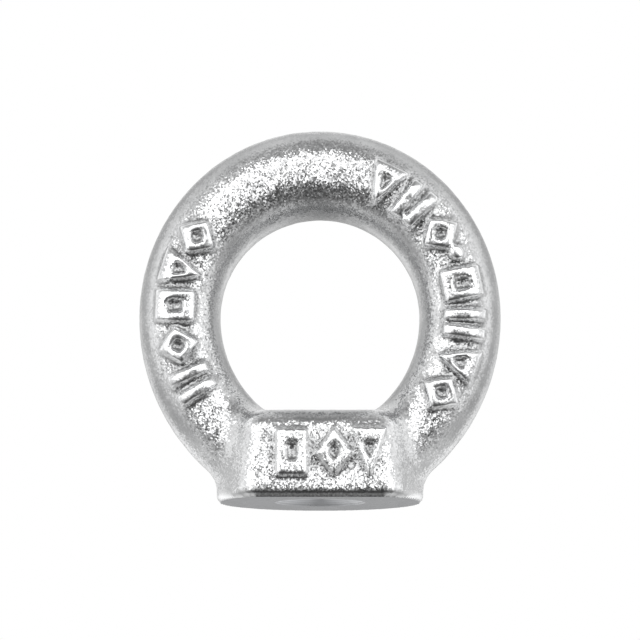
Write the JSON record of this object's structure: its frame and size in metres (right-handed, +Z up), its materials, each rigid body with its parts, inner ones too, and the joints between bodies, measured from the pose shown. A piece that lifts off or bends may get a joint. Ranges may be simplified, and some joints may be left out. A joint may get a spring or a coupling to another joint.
{
  "type": "lifting eye nut",
  "caption": "Forged lifting eye on a short round collar with a flat front pad and a threaded through hole, screwed onto a stud so that a hook, shackle or sling can lift by the eye.",
  "frame": {"origin": "on the thread's axis in the plane of the collar's flat underside", "axes": "+Z up along the thread's axis through the middle of the ring, +X across the ring in its own plane, -Y towards the side with the flat pad"},
  "size_m": [0.054, 0.0266, 0.0557],
  "materials": {
    "zinc_steel": "bright zinc plating over a grainy forged skin"
  },
  "bodies": {
    "root": {"eye_nut": "zinc_steel"}
  },
  "joints": []
}
